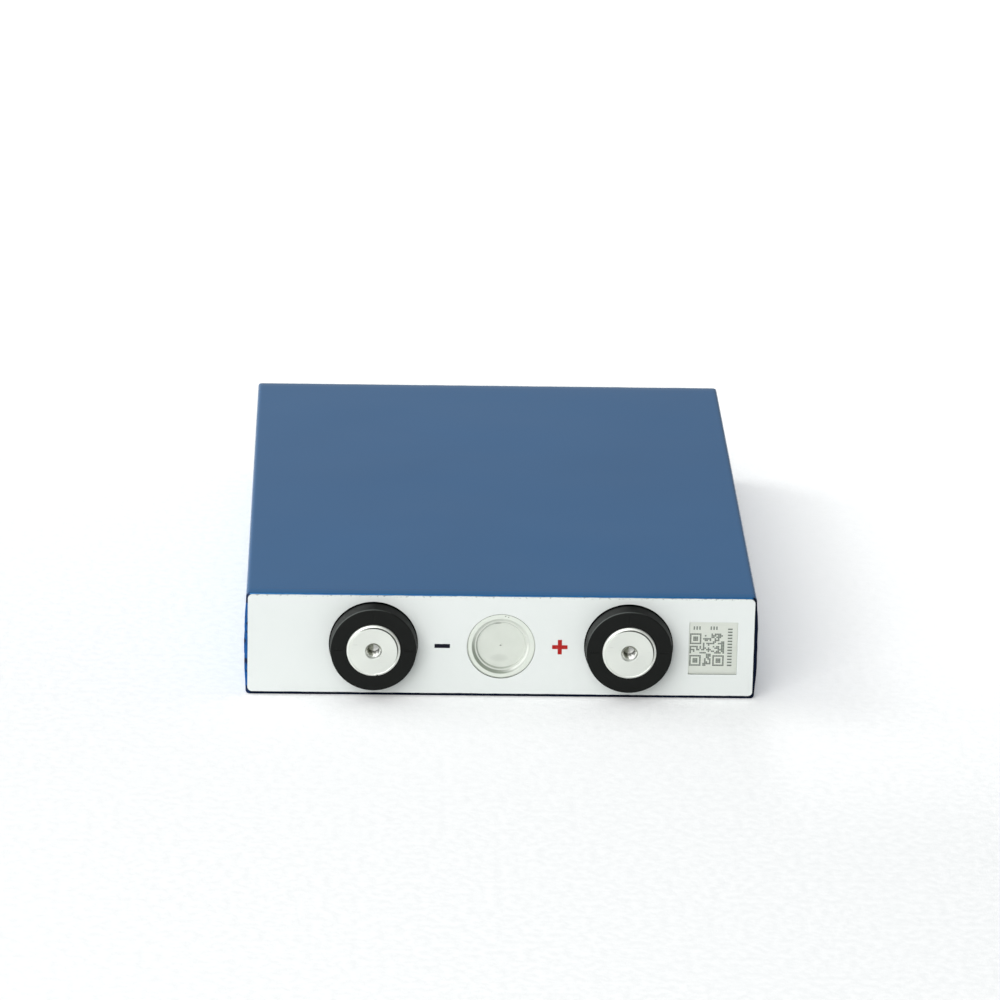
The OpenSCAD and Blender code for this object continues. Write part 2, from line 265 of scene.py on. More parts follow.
def blue_film():
    """Glossy blue PET film: slow waves, orange peel, a cut line, and painted shade on its folds by the
    terminals and in the creases of the left one.
    """
    s = Shader("blue_film")
    half = BODY_W / 2
    tone = s.noise(55, detail=3)
    colour = s.mix(tone, srgb(2, 98, 158), srgb(5, 107, 170))
    scuffs = s.remap(s.noise(7, detail=5, stretch=(4, 0.4, 1), shift=3.1), 0.60, 0.78)
    colour = s.mix(s.times(scuffs, 0.02), colour, srgb(110, 140, 175))
    cut = s.band(s.y, CUT_Y, 0.12, 0.10)
    side = s.remap(s.x, -half + 0.3, -half + 0.1)
    cut = s.times(cut, side)
    colour = s.mix(cut, colour, srgb(3, 18, 62))
    # Painted shade: the right and bottom folds at the terminal end are darkened to near-black navy and made
    # rougher and less glossy, as if in shade.
    fold = s.remap(s.y, -END_Y + 0.9, -END_Y + 0.3)
    right = s.remap(s.x, half - 1.4, half - 0.9)
    low = s.remap(s.z, 1.7, 1.1)
    away = s.remap(s.x, -half + 0.4, -half + 1.2)
    painted_fold_shade = s.times(fold, s.most(right, s.times(low, away)))
    colour = s.mix(painted_fold_shade, colour, srgb(0, 12, 38))
    left = s.times(fold, s.remap(s.x, -half + 1.2, -half + 0.8))
    colour = s.mix(left, colour, srgb(0, 88, 160))
    # Painted shade: dark navy patches in the creases of the left fold at the terminal end.
    painted_crease_shade = s.remap(s.noise(2.4, detail=3, stretch=(1, 3, 1), shift=12.0), 0.50, 0.60)
    colour = s.mix(s.times(painted_crease_shade, left, 0.9), colour, srgb(0, 20, 60))
    rough = s.math("MULTIPLY_ADD", s.noise(18, detail=4, shift=8.0), 0.08, 0.09)
    rough = s.math("MULTIPLY_ADD", scuffs, 0.03, rough)
    rough = s.math("MULTIPLY_ADD", painted_fold_shade, 0.25, rough)
    waves = s.noise(24, detail=1, shift=1.7)
    peel = s.noise(0.9, detail=2)
    groove = s.math("SUBTRACT", 1.0, cut)
    s.bump((waves, 0.06), (peel, 0.004), (groove, 0.05))
    gloss = s.math("MULTIPLY_ADD", painted_fold_shade, -0.35, 0.5)
    return s.finish(
        Base_Color=colour, Metallic=0.45, Roughness=rough, IOR=1.5, Specular_IOR_Level=gloss,
        Coat_Weight=s.math("MULTIPLY_ADD", painted_fold_shade, -0.12, 0.12), Coat_Roughness=0.05)


def white_sheet(name, smudges):
    """Satin white sheet: faint mottle, specks along its upper edge, painted shade on its cut edges and its
    glue, and smudges where it has been handled.
    """
    s = Shader(name)
    mottle = s.noise(16, detail=3)
    colour = s.mix(mottle, srgb(233, 238, 235), srgb(238, 241, 240))
    grain = s.noise(0.35, detail=3, shift=2.0)
    colour = s.mix(s.times(grain, 0.10), colour, srgb(214, 221, 218))
    edge = s.remap(s.y, MID_Z - 0.85, MID_Z - 0.45)
    dirt = s.remap(s.noise(0.55, detail=3, stretch=(1.6, 1, 1), shift=5.0), 0.54, 0.64)
    colour = s.mix(s.times(edge, s.times(dirt, 0.6)), colour, srgb(128, 134, 134))
    dots = s.times(s.specks(7.5, 0.035, 2.3), 0.65)
    colour = s.mix(dots, colour, srgb(120, 122, 120))
    # Painted shade: the sheet's cut edges and the glue under it are darkened to grey, for a shadow line along
    # them.
    face = SHEET_T if smudges else SHEET_TOP
    cut = s.remap(s.z, face - 0.06, face - 0.14)
    colour = s.mix(s.times(cut, 0.8), colour, srgb(104, 110, 108))
    if smudges:
        marks = s.remap(s.noise(5, detail=6, stretch=(2.2, 0.7, 1), shift=11.0), 0.55, 0.80)
        low = s.remap(s.y, 3, -MID_Z, 0.25, 1.0)
        marks = s.times(marks, low)
        colour = s.mix(s.times(marks, 0.55), colour, srgb(158, 168, 168))
        drag = s.remap(s.noise(0.8, detail=3, stretch=(12, 1, 1), shift=6.0), 0.58, 0.75)
        colour = s.mix(s.times(drag, 0.16), colour, srgb(170, 178, 178))
    s.bump((s.noise(12, detail=1, shift=4.0), 0.03), (grain, 0.008))
    rough = s.math("MULTIPLY_ADD", mottle, 0.10, 0.40)
    return s.finish(Base_Color=colour, Roughness=rough, Specular_IOR_Level=0.35)


def ink(name, deep, worn):
    """Screen-printed ink: dense, slightly uneven and a little raised."""
    s = Shader(name)
    patches = s.noise(0.7, detail=4)
    colour = s.mix(s.remap(patches, 0.45, 0.75), deep, worn)
    s.bump((s.noise(0.25, detail=2), 0.006))
    rough = s.math("MULTIPLY_ADD", patches, 0.2, 0.38)
    return s.finish(Base_Color=colour, Roughness=rough, Specular_IOR_Level=0.15)


def black_insulator():
    """Moulded black nylon: fine grain and a few dust specks, a painted highlight on its edge at the upper
    left, painted shade round its foot and a painted sheen on its wall.
    """
    s = Shader("black_insulator")
    radius = s.from_axis()
    flow = s.noise(6, detail=3, shift=1.0)
    colour = s.mix(flow, srgb(15, 17, 16), srgb(21, 23, 21))
    dust = s.times(s.specks(3.1, 0.03, 7.7), 0.5)
    colour = s.mix(dust, colour, srgb(120, 124, 124))
    # Painted highlight: the face's outer edge is lightened towards the upper left, where it catches the
    # light.
    edge = s.band(radius, RING_R - RING_DRAFT, 0.16, 0.06)
    upper = s.remap(s.z, RING_TOP - 0.5, RING_TOP - 0.3)
    painted_edge_highlight = s.times(edge, upper, s.toward(-0.55, 0.83, 0.45, 0.95))
    colour = s.mix(s.times(painted_edge_highlight, 0.55), colour, srgb(112, 118, 115))
    # Painted shade: near its foot the wall is darkened to near-black and loses its shine, for the shade in
    # the gap round the base.
    foot = s.remap(s.z, SHEET_TOP + 1.5, SHEET_TOP + 0.3)
    colour = s.mix(foot, colour, srgb(1, 2, 3))
    s.bump((flow, 0.02), (s.noise(0.18, detail=2), 0.006))
    rough = s.math("MULTIPLY_ADD", s.noise(1.5, detail=3, shift=3.0), 0.14, 0.34)
    # Painted sheen: on the outer wall the specular level is cut back everywhere except towards the upper
    # left.
    wall = s.remap(s.z, RING_TOP - 0.15, RING_TOP - 0.40)
    upper_left = s.toward(-0.64, 0.77, 0.72, 0.98)
    loss = s.times(wall, s.math("MULTIPLY_ADD", upper_left, -0.85, 0.78))
    left_over = s.math("MULTIPLY_ADD", loss, -1.0, 1.0)
    shine = s.times(left_over, s.math("MULTIPLY_ADD", foot, -0.16, 0.16))
    return s.finish(Base_Color=colour, Roughness=rough, Specular_IOR_Level=shine)


def turned_aluminium():
    """Face-turned aluminium: tool rings and handling marks, with painted shade down the hole and on its upper
    side, a painted glint at its lower right and a painted dark line in the step.
    """
    s = Shader("turned_aluminium")
    radius = s.from_axis()
    rings = s.add("TexNoise", {"noise_dimensions": "1D"}, W=s.math("DIVIDE", radius, 0.16), Detail=2.0)
    rings = rings.outputs["Fac"]
    colour = s.mix(rings, srgb(240, 244, 236), srgb(248, 250, 244))
    marks = s.remap(s.noise(1.1, detail=5, stretch=(3, 0.5, 1), shift=9.0), 0.62, 0.80)
    colour = s.mix(s.times(marks, 0.30), colour, srgb(170, 174, 168))
    # Painted shade: darker deeper down the hole.
    depth = s.remap(s.z, BOSS_TOP - 0.5, BOSS_TOP - 1.8)
    colour = s.mix(depth, colour, srgb(178, 181, 164))
    # Painted shade on the upper side of the hole.
    hole = s.remap(radius, COUNTERSINK_R + 0.05, COUNTERSINK_R - 0.12)
    above = s.times(hole, s.toward(-0.30, 0.95, -0.55, 0.75))
    colour = s.mix(s.times(above, 0.8), colour, srgb(92, 94, 78))
    # Painted glint: the hole's lower right is painted near-white.
    glint = s.times(hole, s.toward(0.75, -0.66, 0.35, 0.95))
    colour = s.mix(glint, colour, srgb(252, 253, 250))
    # Painted dark reflection: the groove in the step is darkened towards the upper right.
    face = s.remap(s.z, BOSS_TOP - 0.5, BOSS_TOP - 0.3)
    step = s.times(s.band(radius, STEP_R, 0.24, 0.10), face, s.toward(0.66, 0.75, 0.0, 0.85))
    colour = s.mix(s.times(step, 0.95), colour, srgb(52, 54, 50))
    tangent = s.add("Tangent", {"direction_type": "RADIAL", "axis": "Z"}).outputs[0]
    s.bump((rings, 0.010), (s.noise(2.5, detail=2, shift=2.0), 0.004))
    rough = s.math("MULTIPLY_ADD", marks, 0.15, 0.30)
    rim = s.remap(radius, STEP_R + 0.10, STEP_R + 0.22)
    outside = s.remap(radius, BOSS_R - 0.05, BOSS_R + 0.1)
    metal = s.math("MULTIPLY_ADD", s.math("SUBTRACT", rim, outside), -0.35, 0.8)
    return s.finish(
        Base_Color=colour, Metallic=metal, Roughness=rough, Anisotropic=0.45, Tangent=tangent)


def case_aluminium():
    """Rolled aluminium sheet: grain along the width and soft stains."""
    s = Shader("case_aluminium")
    grain = s.noise(0.22, detail=3, stretch=(22, 1, 1))
    stain = s.noise(9, detail=4, shift=5.0)
    colour = s.mix(grain, srgb(232, 236, 226), srgb(242, 245, 237))
    colour = s.mix(s.remap(stain, 0.5, 0.8, 0.0, 0.25), colour, srgb(196, 202, 190))
    s.bump((grain, 0.004), (stain, 0.01))
    rough = s.math("MULTIPLY_ADD", grain, 0.14, 0.36)
    return s.finish(Base_Color=colour, Metallic=0.85, Roughness=rough)


def etched_metal():
    """Laser-marked aluminium: duller and greyer than the lid, with a grainy bottom."""
    s = Shader("etched_metal")
    grain = s.noise(0.12, detail=3)
    colour = s.mix(grain, srgb(104, 112, 104), srgb(140, 147, 138))
    s.bump((grain, 0.01))
    return s.finish(Base_Color=colour, Metallic=0.35, Roughness=0.62)


def clear_cover():
    """Clear moulded plastic, milky and faintly green, with painted shade in its walls and rim towards the
    lower left, a painted highlight in its step towards the lower right, a few moulding marks and a soft
    darker patch below the middle.
    """
    s = Shader("clear_cover")
    radius = s.from_axis()
    flow = s.noise(6, detail=2, stretch=(1, 1, 4))
    colour = s.mix(flow, srgb(231, 237, 227), srgb(239, 243, 235))
    flange = s.remap(radius, COVER_R - 1.3, COVER_R - 1.0)
    colour = s.mix(s.times(flange, 0.8), colour, srgb(234, 240, 230))
    # Painted shade: the walls, the line at the floor's edge and the rim are darkened towards the lower left,
    # for the shade and dark reflections in the clear plastic.
    below = s.toward(-0.60, -0.80, 0.05, 0.80)
    wall = s.band(radius, COVER_R - 1.55, 0.60, 0.20)
    line = s.band(radius, COVER_R - 2.45, 0.16, 0.14)
    rim = s.band(radius, COVER_R - 0.05, 0.16, 0.14)
    walls = s.most(wall, s.times(line, 0.6), s.times(rim, 0.8))
    dark = s.times(walls, s.math("MULTIPLY_ADD", below, 0.78, 0.02))
    colour = s.mix(dark, colour, srgb(136, 147, 130))
    # Painted highlight: the step's wall is lightened towards the lower right, where the light falls.
    painted_highlight = s.times(s.band(radius, COVER_R - 1.75, 0.35, 0.2), s.toward(0.85, -0.53, 0.35, 0.95))
    colour = s.mix(s.times(painted_highlight, 0.5), colour, srgb(250, 252, 246))
    # Small dark marks: two specks on the flange near the top, a short streak near the top of the floor and
    # the gate in the middle; the wide, faint one is a soft darker patch below the middle.
    spots = s.most(
        s.spot(1.08, 8.42, 0.40, 0.26, 0.5),
        s.spot(1.85, 8.18, 0.36, 0.24, 0.5),
        s.times(s.spot(-1.0, 6.05, 2.2, 0.30, 0.7), 0.7),
        s.spot(-0.1, -0.15, 0.55, 0.36, 0.6),
        s.times(s.spot(-0.4, -3.7, 4.2, 2.0, 0.95), 0.16),
    )
    colour = s.mix(s.times(spots, 0.75), colour, srgb(88, 96, 86))
    solid = s.most(dark, painted_highlight, s.times(spots, 0.8))
    haze = s.math("MULTIPLY_ADD", flange, 0.14, s.math("MULTIPLY_ADD", flow, 0.08, 0.76))
    s.bump((flow, 0.012), (s.noise(0.5, detail=2), 0.002))
    return s.finish(
        Base_Color=colour, Roughness=0.14, IOR=1.5, Alpha=s.most(haze, solid), Coat_Weight=0.4)


# ---- Materials of the pieces inside ----

def copper():
    """Bare copper: rolled grain, darker where it has begun to tarnish."""
    s = Shader("copper")
    grain = s.noise(0.25, detail=3, stretch=(16, 1, 1))
    tarnish = s.remap(s.noise(6, detail=5), 0.45, 0.75)
    colour = s.mix(grain, srgb(201, 124, 86), srgb(222, 148, 108))
    colour = s.mix(s.times(tarnish, 0.5), colour, srgb(134, 74, 50))
    s.bump((grain, 0.005))
    rough = s.math("MULTIPLY_ADD", tarnish, 0.22, 0.26)
    return s.finish(Base_Color=colour, Metallic=1.0, Roughness=rough)


def seal_rubber():
    """Fluororubber: matt and very dark, with moulding specks."""
    s = Shader("seal_rubber")
    grain = s.noise(0.3, detail=4)
    colour = s.mix(grain, srgb(34, 33, 32), srgb(52, 51, 50))
    s.bump((grain, 0.02))
    return s.finish(Base_Color=colour, Roughness=0.78, Specular_IOR_Level=0.3)


def inner_plastic():
    """Natural polypropylene: waxy, faintly cloudy."""
    s = Shader("inner_plastic")
    cloud = s.noise(7, detail=3)
    colour = s.mix(cloud, srgb(226, 225, 216), srgb(240, 239, 232))
    s.bump((s.noise(0.6, detail=2), 0.01))
    return s.finish(Base_Color=colour, Roughness=0.48, Subsurface_Weight=0.1, Subsurface_Scale=0.002)


def bag_film():
    """Thin clear-blue polypropylene film, creased."""
    s = Shader("bag_film")
    crease = s.noise(9, detail=5, stretch=(1, 3, 1))
    colour = s.mix(crease, srgb(188, 202, 216), srgb(214, 223, 232))
    s.bump((crease, 0.25))
    return s.finish(Base_Color=colour, Roughness=0.22, Alpha=0.75)


def roll_separator():
    """A wound roll: white separator on its sides, and foil, coating and separator lines on its ends."""
    s = Shader("roll_separator")
    winding = s.add("TexWave", {"bands_direction": "Z"}, Scale=1.0, Distortion=0.6, Detail=2.0)
    s.fill(winding.inputs["Vector"], s.vector("MULTIPLY", s.place, (0.02, 0.01, 0.9)))
    facing = s.add("NewGeometry").outputs["Normal"]
    end = s.math("ABSOLUTE", s.add("SeparateXYZ", Vector=facing).outputs["Y"])
    lines = s.times(winding.outputs["Fac"], s.remap(end, 0.5, 0.9))
    colour = s.mix(s.noise(14, detail=3), srgb(222, 222, 216), srgb(236, 236, 231))
    colour = s.mix(lines, colour, srgb(44, 44, 47))
    s.bump((s.noise(18, detail=2, stretch=(1, 4, 1)), 0.15), (winding.outputs["Fac"], 0.03))
    return s.finish(Base_Color=colour, Roughness=0.55)


def roll_tape():
    """Green polyester tape with small trapped wrinkles."""
    s = Shader("roll_tape")
    wrinkle = s.noise(4, detail=4, stretch=(4, 1, 1))
    colour = s.mix(wrinkle, srgb(28, 120, 84), srgb(44, 146, 104))
    s.bump((wrinkle, 0.05))
    return s.finish(Base_Color=colour, Roughness=0.25, Coat_Weight=0.3)


MATERIALS = {
    "blue_film": blue_film(),
    "white_sheet": white_sheet("white_sheet", smudges=False),
    "black_ink": ink("black_ink", srgb(8, 8, 24), srgb(20, 20, 40)),
    "red_ink": ink("red_ink", srgb(176, 34, 32), srgb(192, 58, 54)),
    "case_aluminium": case_aluminium(),
    "turned_aluminium": turned_aluminium(),
    "copper": copper(),
    "black_insulator": black_insulator(),
    "clear_cover": clear_cover(),
    "seal_rubber": seal_rubber(),
    "inner_plastic": inner_plastic(),
    "bag_film": bag_film(),
    "roll_separator": roll_separator(),
    "roll_tape": roll_tape(),
}
USED_SHEET = white_sheet("used_sheet", smudges=True)
ETCHED_METAL = etched_metal()


# ---- Mesh helpers ----

def make_object(name, mesh, material, sharp=35):
    """An object with smooth faces and sharp edges where the surface turns by more than sharp degrees."""
    for face in mesh.polygons:
        face.use_smooth = True
    mesh.set_sharp_from_angle(angle=math.radians(sharp))
    mesh.materials.clear()
    mesh.materials.append(material)
    piece = bpy.data.objects.new(name, mesh)
    bpy.context.scene.collection.objects.link(piece)
    return piece


def flatten_shading(piece):
    """Lets each large face keep its own flat shading, so only the eased edges look round."""
    weigh = piece.modifiers.new("flat_shading", "WEIGHTED_NORMAL")
    weigh.keep_sharp = True
    return piece


def grid_mesh(name, rows, close_rows=False):
    """A mesh of quads between rows of points in millimetres. Each row is a closed loop."""
    form = bmesh.new()
    loops = [[form.verts.new(Vector(point) * MM) for point in row] for row in rows]
    pairs = list(zip(loops, loops[1:]))
    if close_rows:
        pairs.append((loops[-1], loops[0]))
    for lower, upper in pairs:
        count = len(lower)
        for i in range(count):
            k = (i + 1) % count
            form.faces.new((lower[i], lower[k], upper[k], upper[i]))
    bmesh.ops.remove_doubles(form, verts=form.verts, dist=1e-7)
    bmesh.ops.dissolve_degenerate(form, edges=form.edges, dist=1e-7)
    bmesh.ops.recalc_face_normals(form, faces=form.faces)
    mesh = bpy.data.meshes.new(name)
    form.to_mesh(mesh)
    form.free()
    return mesh


def rounded(corners, steps=5):
    """The points along a closed outline of (a, b, radius) corners, each turned by an arc of its radius."""
    line = []
    for i, (a, b, radius) in enumerate(corners):
        corner = Vector((a, b))
        back = (Vector(corners[i - 1][:2]) - corner).normalized()
        ahead = (Vector(corners[(i + 1) % len(corners)][:2]) - corner).normalized()
        if radius == 0:
            line.append(corner)
            continue
        half = back.angle(ahead) / 2
        centre = corner + (back + ahead).normalized() * (radius / math.sin(half))
        first = corner + back * (radius / math.tan(half)) - centre
        last = corner + ahead * (radius / math.tan(half)) - centre
        turn = math.atan2(first.x * last.y - first.y * last.x, first.dot(last))
        for k in range(steps + 1):
            line.append(centre + Matrix.Rotation(turn * k / steps, 2) @ first)
    return line


def full_turn(count, extra=()):
    """Angles round a full turn in radians, evenly spaced, with extra ones in degrees."""
    angles = [2 * math.pi * k / count for k in range(count)]
    angles += [math.radians(angle) % (2 * math.pi) for angle in extra]
    return sorted(set(round(angle, 6) for angle in angles))


def lathe(name, profile, material, angles, shape=None):
    """A solid turned from a closed profile of (radius, height) points, which shape(r, h, angle) may move."""
    rows = []
    for radius, height in profile:
        row = []
        for angle in angles:
            r, h = (radius, height) if shape is None else shape(radius, height, angle)
            row.append((r * math.cos(angle), r * math.sin(angle), h))
        rows.append(row)
    return flatten_shading(make_object(name, grid_mesh(name, rows, close_rows=True), material))


def on_lid(piece, x, rise=0.0):
    """Stands a piece on the lid's outer face, x along the width and rise above the middle."""
    place = Matrix.Translation(Vector((x, LID_Y, MID_Z + rise)) * MM)
    piece.matrix_world = place @ Matrix.Rotation(math.pi / 2, 4, "X")
    return piece


def on_bottom(piece):
    """Stands a piece on the bottom end, facing +Y."""
    place = Matrix.Translation(Vector((0, END_Y, MID_Z)) * MM)
    turn = Matrix.Rotation(math.pi, 4, "Z") @ Matrix.Rotation(math.pi / 2, 4, "X")
    piece.matrix_world = place @ turn
    return piece


def keep(piece, slot, *nodes):
    """Records what a finished piece rides on and hides the CAD nodes it stands for. The slot, the finish it
    takes, is not used.
    """
    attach(piece, "root")
    if nodes:
        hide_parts(*nodes)
    return piece


def wobble(size, *place):
    """Smooth noise from -1 to 1 with features of about size millimetres."""
    return noise.noise(Vector(place) / size)


def smooth_step(value, start, end):
    """Rises from 0 at start to 1 at end, level at both."""
    share = min(max((value - start) / (end - start), 0.0), 1.0)
    return share * share * (3 - 2 * share)


# ---- Film ----

def run(start, end, count, close=0.5):
    """Points from start towards end, without end: one close to each end and count - 1 between them."""
    start, end = Vector(start), Vector(end)
    length = (end - start).length
    inner = [close + (length - 2 * close) * k / count for k in range(count + 1)]
    return [start.lerp(end, step / length) for step in [0.0] + inner]


LONG_STEPS = 34
SIDE_STEPS = 14
BY_SEAM_STEPS = 5
SEAM_STEPS = 3
SEAM_EASE = 0.06
LEAST_EDGE_R = 0.03


def film_outline(inset):
    """The film's cross-section as (x, z) points, inset millimetres inside the body's outline."""
    x = BODY_W / 2 - inset
    low = inset
    high = BODY_T - inset
    radius = max(EDGE_R - inset, LEAST_EDGE_R)
    seam_low = MID_Z - SEAM_W / 2
    seam_high = MID_Z + SEAM_W / 2
    steps = 6

    def corner(a, b, first):
        angles = [math.radians(first + 90 * k / steps) for k in range(1, steps)]
        return [Vector((a + radius * math.cos(t), b + radius * math.sin(t))) for t in angles]

    points = run((-x + radius, low), (x - radius, low), LONG_STEPS)
    points += [Vector((x - radius, low))] + corner(x - radius, low + radius, -90)
    points += run((x, low + radius), (x, high - radius), SIDE_STEPS)
    points += [Vector((x, high - radius))] + corner(x - radius, high - radius, 0)
    points += run((x - radius, high), (-x + radius, high), LONG_STEPS)
    points += [Vector((-x + radius, high))] + corner(-x + radius, high - radius, 90)
    points += run((-x, high - radius), (-x, seam_high + SEAM_EASE), BY_SEAM_STEPS)
    points += [Vector((-x, seam_high + SEAM_EASE))]
    points += run((-x - SEAM_T, seam_high), (-x - SEAM_T, seam_low), SEAM_STEPS, close=0.2)
    points += [Vector((-x - SEAM_T, seam_low))]
    points += run((-x, seam_low - SEAM_EASE), (-x, low + radius), BY_SEAM_STEPS)
    points += [Vector((-x, low + radius))] + corner(-x + radius, low + radius, 180)
    return points


BODY_ROWS = 60
FOLD_ROWS = 5
LIP_ROWS = 3


def film_stations():
    """(inset, y) pairs along the film: lip, fold, body, fold, lip, from the bottom end to the terminals."""
    def fold(lip, radius, way):
        flat = [(lip - (lip - radius) * k / LIP_ROWS, way * END_Y) for k in range(LIP_ROWS)]
        turn = []
        for k in range(FOLD_ROWS + 1):
            angle = math.pi / 2 * (1 - k / FOLD_ROWS)
            inset = radius * (1 - math.cos(angle))
            turn.append((inset, way * (END_Y - radius + radius * math.sin(angle))))
        return flat + turn

    reach = END_Y - BOTTOM_FOLD_R
    body = [(0.0, reach - 2 * reach * k / BODY_ROWS) for k in range(1, BODY_ROWS)]
    return fold(BOTTOM_LIP, BOTTOM_FOLD_R, 1) + body + fold(TOP_LIP, TOP_FOLD_R, -1)[::-1]


FACE_WAVE = 0.10
SIDE_WAVE = 0.07
CRINKLE = 0.09
EDGE_DIP = 0.05
LOOSE_LEFT = 0.38
LOOSE_RIGHT = 0.50


def film_waves(x, y, z):
    """How far the film is off a true plane: slow waves, crinkles by its folds, looser by the terminals."""
    from_side = BODY_W / 2 - abs(x)
    from_top = BODY_T - z
    from_end = END_Y - abs(y)
    inner = smooth_step(from_end, 0, 14)
    move = Vector((0, 0, 0))
    if from_top < 0.01:
        move.z = FACE_WAVE * wobble(34, x, y, 0) * inner * smooth_step(from_side, 1, 14)
    if from_side < 0.4:
        away = smooth_step(min(z, from_top), 1, 5)
        crinkle = CRINKLE * wobble(2.6, y * 0.4, z, 7) * smooth_step(from_end, 7, 0.5)
        loose = LOOSE_LEFT if x < 0 else LOOSE_RIGHT
        bulge = loose * smooth_step(min(z, from_top), 0, 9) * smooth_step(END_Y + y, 12, 1)
        wave = SIDE_WAVE * wobble(22, y, z, 3) * inner * away
        move.x = math.copysign(1, x) * (wave + crinkle + bulge)
    if from_top < 0.3:
        move.z -= EDGE_DIP * (1 + wobble(3.4, x, 11, 0)) * smooth_step(from_end, 3, 0)
    return move


def film_wrap():
    """The blue film: one wrapped tube with an overlap seam, folded over both ends with mitred corners."""
    rows = []
    for inset, y in film_stations():
        row = [Vector((point.x, y, point.y)) for point in film_outline(inset)]
        rows.append([place + film_waves(*place) for place in row])
    piece = make_object("film_wrap", grid_mesh("film_wrap", rows), MATERIALS["blue_film"], sharp=28)
    shell = piece.modifiers.new("film_thickness", "SOLIDIFY")
    shell.thickness = FILM_T * MM
    shell.offset = -1
    return keep(piece, "blue_film", "outer_film")


# ---- Sheets ----

HAND_CUT = 0.05
CUT_STEP = 0.7
PLATE_EDGE = 0.05
GLUE_EDGE = 0.01
GLUE_MARGIN = 0.05
WINDOW_CORNER_R = 0.15


def rectangle(w, h, radius, rough=0.0, centre=(0, 0)):
    """A rounded rectangle's outline as closely spaced points, cut by hand where rough is above 0."""
    a, b = w / 2, h / 2
    line = rounded([(-a, -b, radius), (a, -b, radius), (a, b, radius), (-a, b, radius)])
    points = []
    for start, end in zip(line, line[1:] + line[:1]):
        count = max(1, round((end - start).length / CUT_STEP)) if rough else 1
        points += [start.lerp(end, k / count) for k in range(count)]
    for point in points:
        point.x += rough * wobble(3, point.y, 5, 1)
        point.y += rough * (wobble(4, point.x, 2, 4) + 0.6 * wobble(1.1, point.x, 8, 4))
    return [point + Vector(centre) for point in points]


def disc(radius, x, y):
    """A circle's outline."""
    return [Vector((x + radius * math.cos(t), y + radius * math.sin(t))) for t in full_turn(144)]


def plate_mesh(name, outlines, base, thickness, edge=PLATE_EDGE):
    """A flat plate with eased edges. The first outline is its rim and the others are its holes."""
    curve = bpy.data.curves.new(name, "CURVE")
    curve.dimensions = "2D"
    curve.fill_mode = "BOTH"
    curve.extrude = (thickness / 2 - edge) * MM
    curve.bevel_depth = edge * MM
    curve.bevel_resolution = 1
    curve.offset = -edge * MM
    for outline in outlines:
        spline = curve.splines.new("POLY")
        spline.points.add(len(outline) - 1)
        for target, point in zip(spline.points, outline):
            target.co = (point.x * MM, point.y * MM, 0, 1)
        spline.use_cyclic_u = True
    carrier = bpy.data.objects.new(name, curve)
    mesh = bpy.data.meshes.new_from_object(carrier)
    bpy.data.objects.remove(carrier)
    bpy.data.curves.remove(curve)
    mesh.transform(Matrix.Translation((0, 0, (base + thickness / 2) * MM)))
    return mesh


def join_meshes(name, meshes):
    """One mesh from several, welded at shared points."""
    form = bmesh.new()
    for mesh in meshes:
        form.from_mesh(mesh)
    bmesh.ops.remove_doubles(form, verts=form.verts, dist=1e-7)
    bmesh.ops.recalc_face_normals(form, faces=form.faces)
    joined = bpy.data.meshes.new(name)
    form.to_mesh(joined)
    form.free()
    return joined


def top_sheet():
    """The white sheet on the terminal end, open at both rings, the vent and the code window, on its glue."""
    height = SHEET_HIGH.z - SHEET_LOW.z
    centre = (0, (SHEET_HIGH.z + SHEET_LOW.z) / 2 - MID_Z)
    rim = rectangle(SHEET_HIGH.x - SHEET_LOW.x, height, TOP_SHEET_R, HAND_CUT, centre)
    holes = [disc(RING_R + RING_GAP, side * TERMINAL_X, TERMINAL_RISE) for side in (-1, 1)]
    holes.append(disc(COVER_R + COVER_GAP, 0, 0))
    holes.append(rectangle(WINDOW_W, WINDOW_H, WINDOW_CORNER_R, centre=(WINDOW_X, 0)))
    glue_gap = 2 * (TOP_LIP + GLUE_MARGIN)
    glue_rim = rectangle(BODY_W - glue_gap, BODY_T - glue_gap, EDGE_R)
    sheet = plate_mesh("sheet", [rim] + holes, FILM_T, SHEET_T)
    glue = plate_mesh("glue", [glue_rim] + holes, 0, FILM_T, GLUE_EDGE)
    mesh = join_meshes("terminal_end_sheet", [sheet, glue])
    piece = flatten_shading(make_object("terminal_end_sheet", mesh, MATERIALS["white_sheet"], sharp=15))
    on_lid(piece, 0)
    return keep(piece, "white_sheet", "top_sheet")


def bottom_sheet():
    """The white sheet on the bottom end, with its glue."""
    gap = 2 * BOTTOM_SHEET_GAP
    rim = rectangle(BODY_W - gap, BODY_T - gap, BOTTOM_SHEET_R, HAND_CUT)
    glue_gap = 2 * (BOTTOM_LIP + GLUE_MARGIN)
    glue_rim = rectangle(BODY_W - glue_gap, BODY_T - glue_gap, EDGE_R)
    sheet = plate_mesh("sheet", [rim], 0, SHEET_T)
    glue = plate_mesh("glue", [glue_rim], -FILM_T, FILM_T, GLUE_EDGE)
    mesh = join_meshes("bottom_end_sheet", [sheet, glue])
    piece = flatten_shading(make_object("bottom_end_sheet", mesh, USED_SHEET, sharp=15))
    on_bottom(piece)
    return keep(piece, "white_sheet", "bottom_sheet")


# ---- Terminals ----

TICK_DEPTH = 0.10
FAINT_TICK = 0.4
TICK_HALF_ANGLE = 0.95
TICK_EASE = 0.25
TICK_SIDES = (0, 90, 180)
TICK_INNER_R = 8.1
TICK_OUTER_R = 10.4
FOOT_GAP = 0.05
FOOT_DROP = 0.15


